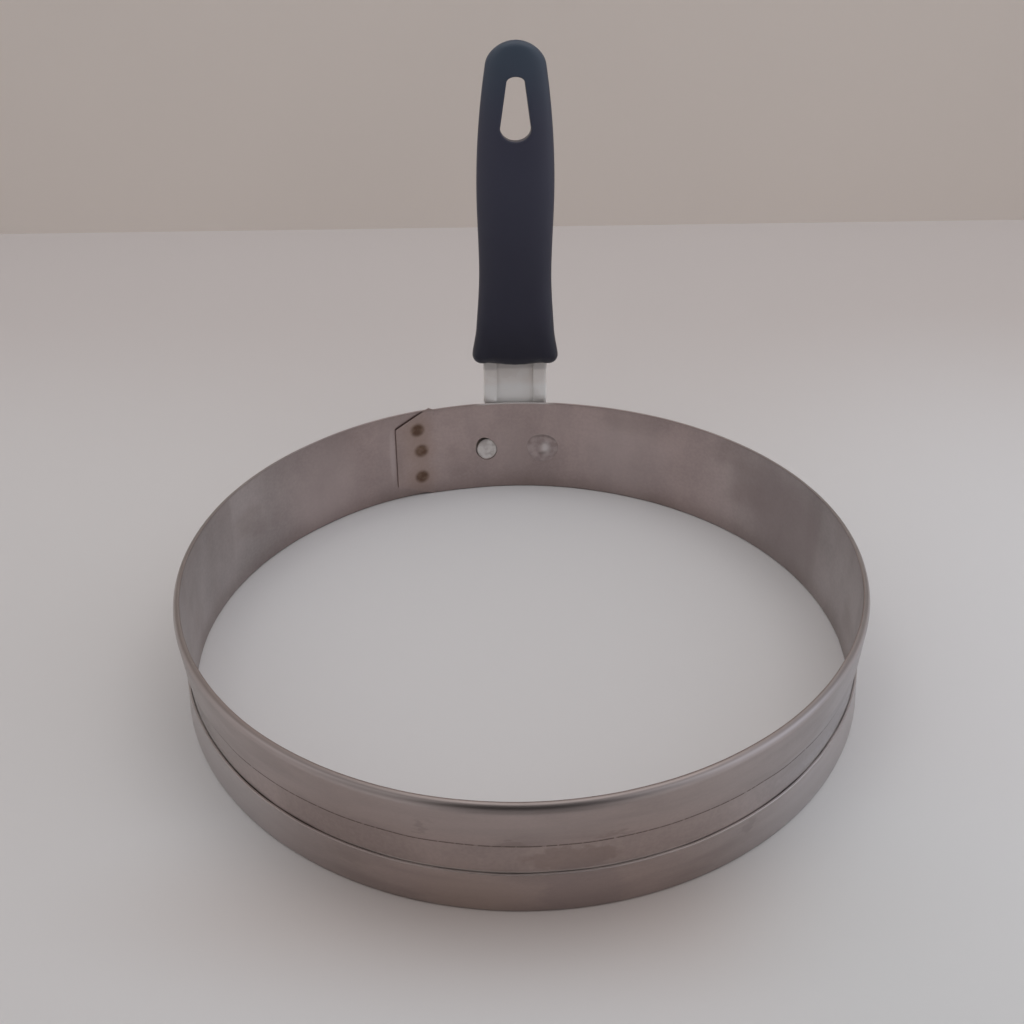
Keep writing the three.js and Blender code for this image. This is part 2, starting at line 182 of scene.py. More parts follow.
def combine(body, tool, operation):
    """Joins or cuts two closed shapes and gives back the result."""
    made = []
    for shape in (body, tool):
        bmesh.ops.recalc_face_normals(shape, faces=shape.faces)
        mesh = bpy.data.meshes.new("shape")
        shape.to_mesh(mesh)
        shape.free()
        made.append(bpy.data.objects.new("shape", mesh))
        scene.collection.objects.link(made[-1])
    modifier = made[0].modifiers.new("combine", "BOOLEAN")
    modifier.operation = operation
    modifier.solver = "EXACT"
    modifier.object = made[1]
    result = bmesh.new()
    result.from_object(made[0], bpy.context.evaluated_depsgraph_get())
    for obj in made:
        bpy.data.objects.remove(obj)
    return result


def finish_piece(name, bm, material, cad_node, sharp=32):
    """Makes the object of a finished shape, which stands for a CAD node."""
    bmesh.ops.remove_doubles(bm, verts=bm.verts, dist=2e-4)
    bmesh.ops.recalc_face_normals(bm, faces=bm.faces)
    bmesh.ops.scale(bm, vec=(MM, MM, MM), verts=bm.verts)
    for face in bm.faces:
        face.smooth = True
    mesh = bpy.data.meshes.new(name)
    bm.to_mesh(mesh)
    bm.free()
    mesh.set_sharp_from_angle(angle=math.radians(sharp))
    mesh.materials.append(material)
    obj = bpy.data.objects.new(name, mesh)
    scene.collection.objects.link(obj)
    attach(obj, "root")
    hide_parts(cad_node)
    return obj


# Helpers for materials
def node(tree, kind, inputs=None, **settings):
    """A new node; an input is a socket to link or a value to set."""
    made = tree.nodes.new(kind)
    for name, value in settings.items():
        setattr(made, name, value)
    for key, value in (inputs or {}).items():
        if isinstance(value, bpy.types.NodeSocket):
            tree.links.new(value, made.inputs[key])
        else:
            made.inputs[key].default_value = value
    return made


def calc(tree, operation, *values):
    return node(tree, "ShaderNodeMath", dict(enumerate(values)), operation=operation).outputs[0]


def vector_calc(tree, operation, *values):
    return node(tree, "ShaderNodeVectorMath", dict(enumerate(values)), operation=operation).outputs[0]


def split(tree, vector):
    """The three parts of a vector."""
    return node(tree, "ShaderNodeSeparateXYZ", {0: vector}).outputs


def times(tree, value, *others):
    """Product of masks and weights."""
    for other in others:
        value = calc(tree, "MULTIPLY", value, other)
    return value


def opposite(tree, mask):
    """The rest of a mask."""
    return calc(tree, "SUBTRACT", 1.0, mask)


def away(tree, value, spot):
    """Distance of a value from a spot."""
    return calc(tree, "ABSOLUTE", calc(tree, "SUBTRACT", value, spot))


def ease(tree, value, low, high):
    """Eases a value from 0 at low to 1 at high."""
    inputs = {"Value": value, "From Min": low, "From Max": high}
    return node(tree, "ShaderNodeMapRange", inputs, interpolation_type="SMOOTHSTEP").outputs["Result"]


def blend(tree, share, first, second):
    """Mixes two colours."""
    inputs = {0: share, 6: first, 7: second}
    return node(tree, "ShaderNodeMix", inputs, data_type="RGBA").outputs[2]


def tinted(tree, colour, tone, *masks):
    """Lays a tone over a colour, as strongly as its masks and weight allow."""
    return blend(tree, times(tree, *masks), colour, tone)


def shader_group(name, inputs, outputs):
    """A new node group with its named sockets."""
    tree = bpy.data.node_groups.new(name, "ShaderNodeTree")
    for label, kind, value in inputs:
        socket = tree.interface.new_socket(label, in_out="INPUT", socket_type=kind)
        socket.default_value = value
    for label, kind in outputs:
        tree.interface.new_socket(label, in_out="OUTPUT", socket_type=kind)
    entry = tree.nodes.new("NodeGroupInput").outputs
    leave = tree.nodes.new("NodeGroupOutput").inputs
    return tree, entry, leave


def use_group(tree, group, inputs):
    """Outputs of a group that is put to use in a material."""
    return node(tree, "ShaderNodeGroup", inputs, node_tree=group).outputs


FLOAT, VECTOR = "NodeSocketFloat", "NodeSocketVector"


def strip_place_group():
    """Place on the strip in millimetres, from its two UV maps: length along it, height and section radius."""
    outputs = [("Along", FLOAT), ("Up", FLOAT), ("Radius", FLOAT), ("Place", VECTOR), ("Pattern", VECTOR)]
    tree, _, leave = shader_group("place on the strip", [], outputs)
    along, up, _ = split(tree, node(tree, "ShaderNodeUVMap", uv_map="strip").outputs[0])
    radius = split(tree, node(tree, "ShaderNodeUVMap", uv_map="section").outputs[0])[0]
    place = node(tree, "ShaderNodeCombineXYZ", {0: along, 1: up, 2: radius}).outputs[0]
    faces_apart = 40.0
    layer = times(tree, radius, faces_apart)
    pattern = node(tree, "ShaderNodeCombineXYZ", {0: along, 1: up, 2: layer}).outputs[0]
    results = {"Along": along, "Up": up, "Radius": radius, "Place": place, "Pattern": pattern}
    for name, socket in results.items():
        tree.links.new(socket, leave[name])
    return tree


def clouds_group():
    """Soft stains: noise stretched by a vector, eased between two levels."""
    inputs = [
        ("Vector", VECTOR, (0, 0, 0)),
        ("Stretch", VECTOR, (1, 1, 1)),
        ("Scale", FLOAT, 30.0),
        ("Low", FLOAT, 0.35),
        ("High", FLOAT, 0.65),
    ]
    tree, entry, leave = shader_group("soft stains", inputs, [("Mask", FLOAT)])
    scaled = vector_calc(tree, "MULTIPLY", entry["Vector"], entry["Stretch"])
    cloud = {"Vector": scaled, "Scale": entry["Scale"], "Detail": 3.0, "Roughness": 0.5}
    mask = ease(tree, node(tree, "ShaderNodeTexNoise", cloud).outputs[0], entry["Low"], entry["High"])
    tree.links.new(mask, leave["Mask"])
    return tree


def near_group():
    """Mask that is 1 close to a point and fades out between two distances, in a stretched space."""
    inputs = [
        ("Vector", VECTOR, (0, 0, 0)),
        ("Point", VECTOR, (0, 0, 0)),
        ("Stretch", VECTOR, (1, 1, 1)),
        ("Full", FLOAT, 0.001),
        ("None", FLOAT, 0.002),
    ]
    tree, entry, leave = shader_group("near a point", inputs, [("Mask", FLOAT)])
    offset = vector_calc(tree, "SUBTRACT", entry["Vector"], entry["Point"])
    offset = vector_calc(tree, "MULTIPLY", offset, entry["Stretch"])
    reach = node(tree, "ShaderNodeVectorMath", {0: offset}, operation="LENGTH").outputs["Value"]
    mask = ease(tree, reach, entry["None"], entry["Full"])
    tree.links.new(mask, leave["Mask"])
    return tree


STRIP_PLACE = strip_place_group()
CLOUDS = clouds_group()
NEAR = near_group()


def stains(tree, vector, scale, low=0.35, high=0.65, stretch=(1, 1, 1)):
    """Mask of soft stains."""
    inputs = {"Vector": vector, "Stretch": stretch, "Scale": scale, "Low": low, "High": high}
    return use_group(tree, CLOUDS, inputs)["Mask"]


def near(tree, vector, point, full, none, stretch=(1, 1, 1)):
    """Mask of what lies near a point."""
    inputs = {"Vector": vector, "Point": point, "Stretch": stretch, "Full": full, "None": none}
    return use_group(tree, NEAR, inputs)["Mask"]


def new_material(name, **sockets):
    """A new material, with values for its shader's sockets."""
    material = bpy.data.materials.new(name)
    material.use_nodes = True
    tree = material.node_tree
    shader = tree.nodes["Principled BSDF"]
    for key, value in sockets.items():
        shader.inputs[key.replace("_", " ")].default_value = value
    return material, tree, shader


def surface(tree, shader, colour, roughness, height, strength, depth):
    """Joins a finish to its shader, with a bump of the given depth."""
    bump = node(tree, "ShaderNodeBump", {"Height": height, "Strength": strength, "Distance": depth})
    tree.links.new(colour, shader.inputs["Base Color"])
    tree.links.new(roughness, shader.inputs["Roughness"])
    tree.links.new(bump.outputs[0], shader.inputs["Normal"])


# Ring steel, painted by length along the strip, height and section radius, in millimetres
def sheet_tones(tree, place, outside, broad):
    """Tones of the sheet: warm at the front and back and grey at the sides, with a painted cool reflection of the
    light from the right on the outer right flank.
    """
    pattern, along, up = place["Pattern"], place["Along"], place["Up"]
    twice_round = calc(tree, "COSINE", times(tree, along, 2 / RING_INNER))
    sides = ease(tree, twice_round, 0.35, -0.85)
    painted_light_flank = ease(tree, twice_round, 0.97, -0.4)
    right = ease(tree, along, 250.0, 340.0)
    # Painted reflection: the outer right flank takes a cooler, bluer tone in place of the cool light from the right.
    cool_reflection_flank = times(tree, ease(tree, twice_round, 0.85, -0.5), right)
    inner_base = blend(tree, sides, (0.425, 0.345, 0.332, 1), (0.445, 0.405, 0.40, 1))
    outer_side = blend(tree, right, (0.44, 0.418, 0.41, 1), (0.44, 0.435, 0.455, 1))
    outer_base = blend(tree, calc(tree, "MAXIMUM", sides, cool_reflection_flank), (0.435, 0.361, 0.341, 1), outer_side)
    base = blend(tree, outside, inner_base, outer_base)

    # Clouds and speckle, stains, and streaks that stand upright inside and run along the strip outside
    speckle = stains(tree, pattern, 1.1, 0.3, 0.7)
    gain = calc(tree, "MULTIPLY_ADD", broad, 0.2, 0.95)
    gain = calc(tree, "MULTIPLY_ADD", calc(tree, "SUBTRACT", speckle, 0.5), 0.09, gain)
    colour = node(tree, "ShaderNodeVectorMath", {0: base, 3: gain}, operation="SCALE").outputs[0]
    upright, laid_along = (1, 0.25, 1), (-0.7, 0.75, 0)
    streak_run = vector_calc(tree, "MULTIPLY_ADD", outside, laid_along, upright)
    streak = stains(tree, pattern, 0.11, 0.42, 0.7, streak_run)
    colour = tinted(tree, colour, (0.34, 0.285, 0.275, 1), streak, 0.3)
    stain = stains(tree, pattern, 0.05, 0.52, 0.72, (0.7, 1, 1.3))
    colour = tinted(tree, colour, (0.29, 0.23, 0.21, 1), stain, 0.35)

    # The lower flap, darker at the front and with painted light on its flanks, then the upper flap and the tongue
    low_front = ease(tree, up, 12.5, 11.0)
    colour = tinted(tree, colour, (0.33, 0.27, 0.25, 1), low_front, outside, opposite(tree, sides), 0.2)
    # Painted light on the lower flap's flanks.
    colour = tinted(tree, colour, (0.61, 0.57, 0.565, 1), ease(tree, up, 14.0, 10.0), outside, painted_light_flank, 0.8)
    colour = tinted(tree, colour, (0.45, 0.40, 0.39, 1), ease(tree, up, 17.0, 27.0), outside, 0.4)
    tongue = ease(tree, along, FULL_TURN + 27.0, FULL_TURN + 33.0)
    return tinted(tree, colour, (0.35, 0.25, 0.20, 1), tongue, 0.2)


def rim_wear(tree, place, outside, colour):
    """The rim: darkened on its crown, most towards the front, with a painted dark reflection on its front shoulder,
    and painted light on its shoulder at the sides and on the crown by the handle.
    """
    along, up = place["Along"], place["Up"]
    from_front = away(tree, along, FULL_TURN / 2)
    facing = ease(tree, from_front, 30.0, 6.0)
    shoulder = times(tree, ease(tree, up, 31.5, 32.2), outside)
    crown = times(tree, ease(tree, up, 32.95, 33.25), outside)
    painted_light = calc(tree, "SUBTRACT", shoulder, crown)
    # Painted light on the shoulder away from the front.
    colour = tinted(tree, colour, (0.60, 0.545, 0.535, 1), painted_light, opposite(tree, facing), 0.2)
    dull = calc(tree, "MAXIMUM", crown, ease(tree, up, 32.9, 33.3))
    dull = times(tree, dull, calc(tree, "MULTIPLY_ADD", ease(tree, from_front, 90.0, 40.0), 0.3, 0.24))
    # Painted reflection of a dark thing in front, laid on the front shoulder.
    dark_front_reflection = times(tree, ease(tree, up, 30.9, 32.0), facing, outside, 0.62)
    dull = calc(tree, "MAXIMUM", dull, dark_front_reflection)
    # This darkening mask now also carries the painted dark reflection at the front.
    colour = blend(tree, dull, colour, (0.15, 0.13, 0.125, 1))
    # Painted light on the crown near the handle.
    patch_mask = times(tree, ease(tree, away(tree, along, FULL_TURN), 15.0, 10.0), dull, 3.0)
    return blend(tree, calc(tree, "MINIMUM", patch_mask, 0.8), colour, (0.85, 0.83, 0.82, 1))


def inner_wear(tree, place, outside, colour):
    """The inner wall: a brown foot, light patches, a darker one, and a painted highlight beside the tongue's edge,
    where the strip bends out.
    """
    foot = ease(tree, place["Up"], 8.0, 0.5)
    colour = tinted(tree, colour, (0.27, 0.205, 0.18, 1), foot, opposite(tree, outside), 0.35)
    patches = (
        ((70.0, 15.0), (0.6, 0.5), 11.0, (0.53, 0.45, 0.44, 1), 0.45),
        ((545.0, 16.0), (0.5, 0.5), 11.0, (0.53, 0.45, 0.44, 1), 0.4),
        ((FULL_TURN, 17.0), (0.9, 0.6), 9.0, (0.51, 0.425, 0.41, 1), 0.4),
        ((480.0, 17.0), (0.35, 0.4), 10.0, (0.31, 0.255, 0.25, 1), 0.65),
        # Painted highlight: the light band just past the tongue's edge.
        ((TONGUE_END + 1.4, 18.0), (3.4, 0.38), 5.0, (0.60, 0.52, 0.51, 1), 0.45),
    )
    for (along, up), (wide, tall), reach, tone, weight in patches:
        patch = near(tree, place["Place"], (along, up, RING_INNER), 0.3 * reach, reach, (wide, tall, 20))
        colour = tinted(tree, colour, tone, patch, weight)
    return colour


def front_stains(tree, place, outside, colour):
    """Ragged stains on the outside of the front."""
    patches = (
        ((301.5, 15.3), (0.3, 1.0), 3.9, 0.7, (0.30, 0.235, 0.21, 1), 0.45),
        ((279.0, 5.0), (0.5, 0.8), 8.0, 0.3, (0.47, 0.385, 0.34, 1), 0.4),
        ((304.0, 5.0), (0.6, 0.6), 7.0, 0.6, (0.34, 0.285, 0.28, 1), 0.45),
        ((310.5, 22.2), (0.5, 1.6), 2.4, 0.3, (0.33, 0.27, 0.25, 1), 0.5),
        ((269.0, 24.6), (1.3, 0.6), 2.4, 0.3, (0.33, 0.275, 0.26, 1), 0.45),
        ((288.5, 21.4), (0.6, 1.2), 2.2, 0.3, (0.31, 0.255, 0.24, 1), 0.5),
        ((346.0, 8.8), (0.8, 0.8), 2.6, 0.2, (0.33, 0.28, 0.27, 1), 0.45),
        ((250.0, 8.0), (0.35, 1.0), 2.8, 0.2, (0.33, 0.28, 0.26, 1), 0.35),
    )
    cloud = {"Vector": place["Pattern"], "Scale": 0.35, "Detail": 3.0}
    ragged = node(tree, "ShaderNodeTexNoise", cloud).outputs["Color"]
    ragged = vector_calc(tree, "SUBTRACT", ragged, (0.5, 0.5, 0.5))
    ragged = vector_calc(tree, "MULTIPLY_ADD", ragged, (9.0, 5.0, 0.0), place["Place"])
    for (along, up), (wide, tall), reach, core, tone, weight in patches:
        patch = near(tree, ragged, (along, up, RING_OUTER), core * reach, reach, (wide, tall, 0))
        colour = tinted(tree, colour, tone, patch, outside, weight)
    return colour


def fold_edges(tree, place, outside, colour, roughness):
    """The lower flap's edge lightened with painted light over the dark crevice, and dashes of grime with painted shade
    under the upper flap, both fading towards the sides.
    """
    from_front = away(tree, place["Along"], FULL_TURN / 2)
    flap_face = WALL_OUTER + FLAP_EDGE_GAP + SHEET
    behind_face = ease(tree, place["Radius"], flap_face, flap_face - EDGE_BREAK)
    dashes = stains(tree, place["Pattern"], 0.7, 0.3, 0.5, (1, 0, 0))
    edges = (
        # Painted light over the lower flap's edge and the dark corner behind it.
        (FOOT_FLAP_EDGE, 0.45, behind_face, (65.0, 25.0), 0.7, (0.68, 0.61, 0.58, 1)),
        # Grime dashes together with painted shade under the upper flap's edge.
        (RIM_FLAP_EDGE, 0.2, dashes, (96.0, 74.0), 0.8, (0.11, 0.08, 0.066, 1)),
    )
    for edge, full, mask, fade, weight, tone in edges:
        line = ease(tree, away(tree, place["Up"], edge), 0.7, full)
        line = times(tree, line, outside, mask, ease(tree, from_front, *fade), weight)
        colour = blend(tree, line, colour, tone)
        roughness = calc(tree, "MULTIPLY_ADD", line, 0.3, roughness)
    return colour, roughness


def weld_burns(tree, place, colour, roughness):
    """Burnt spots and brown halos of the spot welds."""
    char = stains(tree, place["Pattern"], 0.45, 0.4, 0.75)
    burnt = blend(tree, char, (0.15, 0.088, 0.06, 1), (0.26, 0.175, 0.13, 1))
    for along, up in WELDS:
        point = (along + FULL_TURN, up, RING_INNER)
        halo = near(tree, place["Place"], point, 1.0, 8.0)
        colour = tinted(tree, colour, (0.37, 0.265, 0.20, 1), halo, 0.35)
        burn = near(tree, place["Place"], point, 1.4, 3.2)
        colour = tinted(tree, colour, burnt, burn, 0.9)
        roughness = calc(tree, "MULTIPLY_ADD", burn, 0.15, roughness)
    return colour, roughness


def ring_steel():
    """Bare sheet steel: blotched, rolled along its length, grimy and painted with light and shade at the folds and
    rim, burnt at the spot welds.
    """
    material, tree, shader = new_material("ring steel", Metallic=1.0)
    place = use_group(tree, STRIP_PLACE, {})
    outside = ease(tree, place["Radius"], WALL_OUTER - 0.2, WALL_OUTER - 0.05)
    broad = stains(tree, place["Pattern"], 0.034, stretch=(1, 0.8, 1))
    rolled = vector_calc(tree, "MULTIPLY", place["Pattern"], (0.06, 3.2, 0.02))
    grain = node(tree, "ShaderNodeTexNoise", {"Vector": rolled, "Scale": 1.0, "Detail": 2.0}).outputs[0]
    roughness = calc(tree, "MULTIPLY_ADD", broad, -0.06, 0.38)
    roughness = calc(tree, "MULTIPLY_ADD", grain, 0.06, roughness)
    colour = sheet_tones(tree, place, outside, broad)
    colour = rim_wear(tree, place, outside, colour)
    colour = inner_wear(tree, place, outside, colour)
    colour = front_stains(tree, place, outside, colour)
    colour, roughness = fold_edges(tree, place, outside, colour, roughness)
    colour, roughness = weld_burns(tree, place, colour, roughness)
    surface(tree, shader, colour, roughness, grain, 0.25, 0.00002)
    return material


# Materials of the handle, painted by place in metres
def zinc_sheet():
    """Galvanised sheet: faint spangle and dull blotches, painted light low down by the rim, a painted shadow under the
    grip's mouth, greyer on its foot.
    """
    material, tree, shader = new_material("zinc sheet")
    where = node(tree, "ShaderNodeTexCoord").outputs["Object"]
    height = split(tree, where)[2]
    spangle = node(tree, "ShaderNodeTexVoronoi", {"Vector": where, "Scale": 380.0}).outputs["Color"]
    shade = node(tree, "ShaderNodeSeparateColor", {0: spangle}).outputs[0]
    dull = stains(tree, where, 160.0, 0.4, 0.7)
    colour = blend(tree, shade, (0.94, 0.89, 0.85, 1), (0.975, 0.935, 0.90, 1))
    colour = tinted(tree, colour, (0.89, 0.825, 0.775, 1), dull, 0.4)
    # Painted light: the sheet is lightened low down, just above the rim.
    colour = tinted(tree, colour, (0.985, 0.98, 0.965, 1), ease(tree, height, 0.0412, 0.0385), 0.75)
    # Painted shadow under the grip's mouth.
    colour = tinted(tree, colour, (0.42, 0.40, 0.39, 1), ease(tree, height, 0.0446, 0.0456), 0.4)
    foot = ease(tree, height, 0.0335, 0.0315)
    foot_tone = blend(tree, dull, (0.70, 0.70, 0.69, 1), (0.58, 0.57, 0.56, 1))
    colour = tinted(tree, colour, foot_tone, foot)
    tree.links.new(calc(tree, "MULTIPLY_ADD", foot, 0.75, 0.12), shader.inputs["Metallic"])
    roughness = calc(tree, "MULTIPLY_ADD", dull, 0.1, 0.4)
    surface(tree, shader, colour, roughness, shade, 0.1, 0.00002)
    return material


def rivet_steel(name, light, dark, highlight_at=None):
    """Hammered rivet steel: small dents and dull patches, and a painted highlight where a place for one is given."""
    material, tree, shader = new_material(name, Metallic=1.0)
    where = node(tree, "ShaderNodeTexCoord").outputs["Object"]
    dents = node(tree, "ShaderNodeTexNoise", {"Vector": where, "Scale": 700.0, "Detail": 2.0}).outputs[0]
    dull = stains(tree, where, 420.0, 0.4, 0.65)
    head = blend(tree, dull, (0.66, 0.63, 0.61, 1), (0.55, 0.51, 0.49, 1))
    outer_end = ease(tree, split(tree, where)[1], 0.0945, 0.0955)
    colour = blend(tree, outer_end, blend(tree, dull, light, dark), head)
    # Painted highlight: a bright wedge on the rolled head.
    if highlight_at:
        painted_light = near(tree, where, highlight_at, 0.0003, 0.0024, (1, 0.3, 0.6))
        colour = tinted(tree, colour, (0.74, 0.70, 0.69, 1), painted_light, 0.75)
    roughness = calc(tree, "MULTIPLY_ADD", dull, 0.15, 0.36)
    surface(tree, shader, colour, roughness, dents, 0.3, 0.0001)
    return material


def grip_plastic():
    """Dark blue-black moulded plastic with a fine satin texture and faint rubbed patches, with painted shade at the
    mouth and a painted sheen that grows lighter and bluer towards its end.
    """
    material, tree, shader = new_material("grip plastic", Metallic=0.0)
    where = node(tree, "ShaderNodeTexCoord").outputs["Object"]
    height = split(tree, where)[2]
    fine = node(tree, "ShaderNodeTexNoise", {"Vector": where, "Scale": 3200.0, "Detail": 2.0}).outputs[0]
    patch_mask = stains(tree, where, 60.0, 0.35, 0.7)
    # Painted light and shade by height: darkest at the mouth, lighter in the middle, lightest and bluest at the top as
    # a painted sheen.
    colour = blend(tree, ease(tree, height, 0.048, 0.068), (0.012, 0.0118, 0.024, 1), (0.027, 0.0265, 0.047, 1))
    colour = blend(tree, ease(tree, height, 0.065, 0.118), colour, (0.046, 0.047, 0.077, 1))
    colour = blend(tree, ease(tree, height, 0.118, 0.150), colour, (0.054, 0.076, 0.110, 1))
    colour = tinted(tree, colour, (0.042, 0.043, 0.068, 1), patch_mask, 0.2)
    roughness = calc(tree, "MULTIPLY_ADD", patch_mask, -0.05, 0.47)
    surface(tree, shader, colour, roughness, fine, 0.25, 0.00005)
    return material


# Ring
def strip_section():
    """Outline of the strip as radius and height: rim crown, rim flap, wall, foot flap, foot, inner wall."""
    crown_x = RING_INNER + RIM_INNER_ROUND
    crown_z = RING_HEIGHT - RIM_CROWN
    flap_in = WALL_OUTER + FLAP_EDGE_GAP
    flap_out = flap_in + SHEET
    fold_x = WALL_OUTER + FOLD_GAP / 2
    foot_z = SHEET + FOLD_GAP / 2
    broken = flap_out - EDGE_BREAK
    rim_edge = [(flap_out, RIM_FLAP_EDGE + EDGE_BREAK), (broken, RIM_FLAP_EDGE), (flap_in, RIM_FLAP_EDGE)]
    foot_edge = [(flap_in, FOOT_FLAP_EDGE), (broken, FOOT_FLAP_EDGE), (flap_out, FOOT_FLAP_EDGE - EDGE_BREAK)]
    inner_round = arc(crown_x, RING_HEIGHT - RIM_INNER_ROUND, RIM_INNER_ROUND, RIM_INNER_ROUND, 2, 1, 6)
    crown = arc(crown_x, crown_z, RING_OUTER - crown_x, RIM_CROWN, 1, 0, 18)[1:]
    rim_hollow = arc(fold_x, crown_z, FOLD_GAP / 2, RIM_CROWN - SHEET, 0, 2, 8)
    foot_hollow = arc(fold_x, foot_z, FOLD_GAP / 2, FOLD_GAP / 2, 2, 4, 8)
    outer_corner = arc(RING_OUTER - FOOT_CORNER, FOOT_CORNER, FOOT_CORNER, FOOT_CORNER, 0, -1, 6)
    inner_corner = arc(RING_INNER + FOOT_CORNER, FOOT_CORNER, FOOT_CORNER, FOOT_CORNER, -1, -2, 6)
    return [
        *inner_round, *crown,
        *run(crown[-1], rim_edge[0], 9), *rim_edge,
        *run(rim_edge[-1], rim_hollow[0], 4), *rim_hollow,
        *run(rim_hollow[-1], foot_hollow[0], 18), *foot_hollow,
        *run(foot_hollow[-1], foot_edge[0], 4), *foot_edge,
        *run(foot_edge[-1], outer_corner[0], 8), *outer_corner,
        *inner_corner, *run(inner_corner[-1], inner_round[0], 20),
    ]


def wall_shift(turn, z):
    """How far the hand-bent wall stands out of its true round, by angle from the handle and by height."""
    place = Vector((math.cos(turn), math.sin(turn), 0))
    swell = WALL_SWELL * noise.noise(place * 5 + Vector((0, 0, z * 0.02)))
    swell += WALL_RIPPLE * noise.noise(place * 16 + Vector((4, 0, z * 0.03)))
    angle = turn + SHAPE_TURN
    bend = sum(c * math.cos(k * angle) + s * math.sin(k * angle) for k, c, s in zip((2, 3), ROUND_COS, ROUND_SIN))
    lean = LEAN_ALL
    lean += sum(c * math.cos(k * angle) + s * math.sin(k * angle) for k, c, s in zip((1, 2), LEAN_COS, LEAN_SIN))
    from_handle = math.degrees(min(turn % math.tau, -turn % math.tau))
    return smooth(8, 20, from_handle) * (swell + bend + lean * (1 - z / RING_HEIGHT))


def lay_out(bm, places):
    """Writes each vertex's place on the strip into the two UV maps."""
    strip = bm.loops.layers.uv.new("strip")
    section = bm.loops.layers.uv.new("section")
    for face in bm.faces:
        for corner in face.loops:
            length, z, radius = places[corner.vert.index]
            corner[strip].uv = (length, z)
            corner[section].uv = (radius, 0)


def settle_strip(bm):
    """Steps the strip outward over the tongue and gives it the unevenness of hand-formed sheet."""
    bm.verts.index_update()
    places = []
    for v in bm.verts:
        x, y, z = v.co
        radius = math.hypot(x, y)
        turn = math.atan2(-x, y)
        if turn < (HEM_END + OUTER_END) / 2 / RING_INNER:
            turn += math.tau
        length = turn * RING_INNER
        places.append((length, z, radius))
        place = Vector((math.cos(turn), math.sin(turn), 0))
        swell, lift = wall_shift(turn, z), 0.0
        if radius > FLAPS_FROM and z > RIM_FLAP_EDGE - 1:
            free = smooth(RING_HEIGHT - RIM_CROWN, RIM_FLAP_EDGE, z)
            swell += free * RIM_FLAP_WAVE * (0.5 + noise.noise(place * 11 + Vector((0, 7, 0))))
            lift = free * RIM_FLAP_WAVE * noise.noise(place * 9 + Vector((0, 3, 5)))
        if radius > FLAPS_FROM and z < FOOT_FLAP_EDGE + 1:
            free = smooth(0, FOOT_FLAP_EDGE, z)
            swell += free * FOOT_FLAP_WAVE * (0.5 + noise.noise(place * 9 + Vector((5, 0, 2))))
            lift = free * FOOT_FLAP_WAVE * noise.noise(place * 8 + Vector((1, 6, 0)))
        radius += swell + LAP_STEP * (1 - smooth(TONGUE_END + 2, TONGUE_END + LAP_BLEND, length))
        v.co = (-math.sin(turn) * radius, math.cos(turn) * radius, z + lift)
    lay_out(bm, places)


def folded_strip():
    """The strip's section spun round the ring, open where its ends lap."""
    bm = bmesh.new()
    verts, edges = closed_loop(bm, [(0, radius, height) for radius, height in strip_section()])
    start = OUTER_END / RING_INNER
    span = 2 * math.pi + HEM_END / RING_INNER - start
    bmesh.ops.rotate(bm, verts=verts, cent=(0, 0, 0), matrix=Matrix.Rotation(start, 3, "Z"))
    bmesh.ops.spin(
        bm, geom=verts + edges, cent=(0, 0, 0), axis=(0, 0, 1), dvec=(0, 0, 0),
        angle=span, steps=STRIP_STEPS, use_merge=False,
    )
    fill_open_ends(bm)
    settle_strip(bm)
    return bm


def lap_tongue():
    """The strip's inner end: a single sheet with clipped corners, dented by three spot welds."""
    bm = bmesh.new()
    bmesh.ops.create_grid(bm, x_segments=60, y_segments=120, size=0.5)
    low, top = TONGUE_LOW, RING_HEIGHT + TONGUE_PEAK
    length, tall = TONGUE_END - TONGUE_ROOT, top - low
    bmesh.ops.scale(bm, vec=(length, tall, 1), verts=bm.verts)
    bmesh.ops.translate(bm, vec=(TONGUE_ROOT + length / 2, low + tall / 2, 0), verts=bm.verts)
    peak = TONGUE_END - CLIP_LENGTH
    neck = HEM_END + EDGE_BREAK
    cuts = [
        ((peak, top), (TONGUE_END, RING_HEIGHT - CLIP_RISE)),
        ((TONGUE_END, CLIP_RISE), (peak, low)),
        ((neck, RING_HEIGHT), (peak, top)),
    ]
    for (ax, ay), (bx, by) in cuts:
        outward = Vector((ay - by, bx - ax, 0))
        bmesh.ops.bisect_plane(
            bm, geom=bm.verts[:] + bm.edges[:] + bm.faces[:], plane_co=(ax, ay, 0), plane_no=outward, clear_outer=True
        )
    neck_top = RING_HEIGHT - RIM_CROWN
    for spot, across in (((neck, 0, 0), (1, 0, 0)), ((0, neck_top, 0), (0, 1, 0)), ((0, NECK_LOW, 0), (0, 1, 0))):
        bmesh.ops.bisect_plane(bm, geom=bm.verts[:] + bm.edges[:] + bm.faces[:], plane_co=spot, plane_no=across)
    middles = {f: f.calc_center_median() for f in bm.faces}
    beside = [f for f, middle in middles.items() if middle.x < neck and not NECK_LOW < middle.y < neck_top]
    bmesh.ops.delete(bm, geom=beside, context="FACES")
    bmesh.ops.solidify(bm, geom=bm.faces[:], thickness=SHEET - 2 * TONGUE_INSET)
    floor = min(v.co.z for v in bm.verts)
    bm.verts.index_update()
    places = []
    for v in bm.verts:
        length, height, depth = v.co.x, v.co.y, v.co.z - floor
        turn = length / RING_INNER
        radius = RING_INNER + TONGUE_INSET + depth + wall_shift(turn, height)
        for along, up in WELDS:
            reach = math.hypot(length - along, height - up) / WELD_RADIUS
            radius += WELD_DENT * (1 - smooth(0.55, 1.0, reach))
            radius -= WELD_LIP * smooth(0.8, 1.05, reach) * (1 - smooth(1.05, 1.4, reach))
        v.co = (-math.sin(turn) * radius, math.cos(turn) * radius, height)
        places.append((length + FULL_TURN, height, RING_INNER))
    lay_out(bm, places)
    return bm


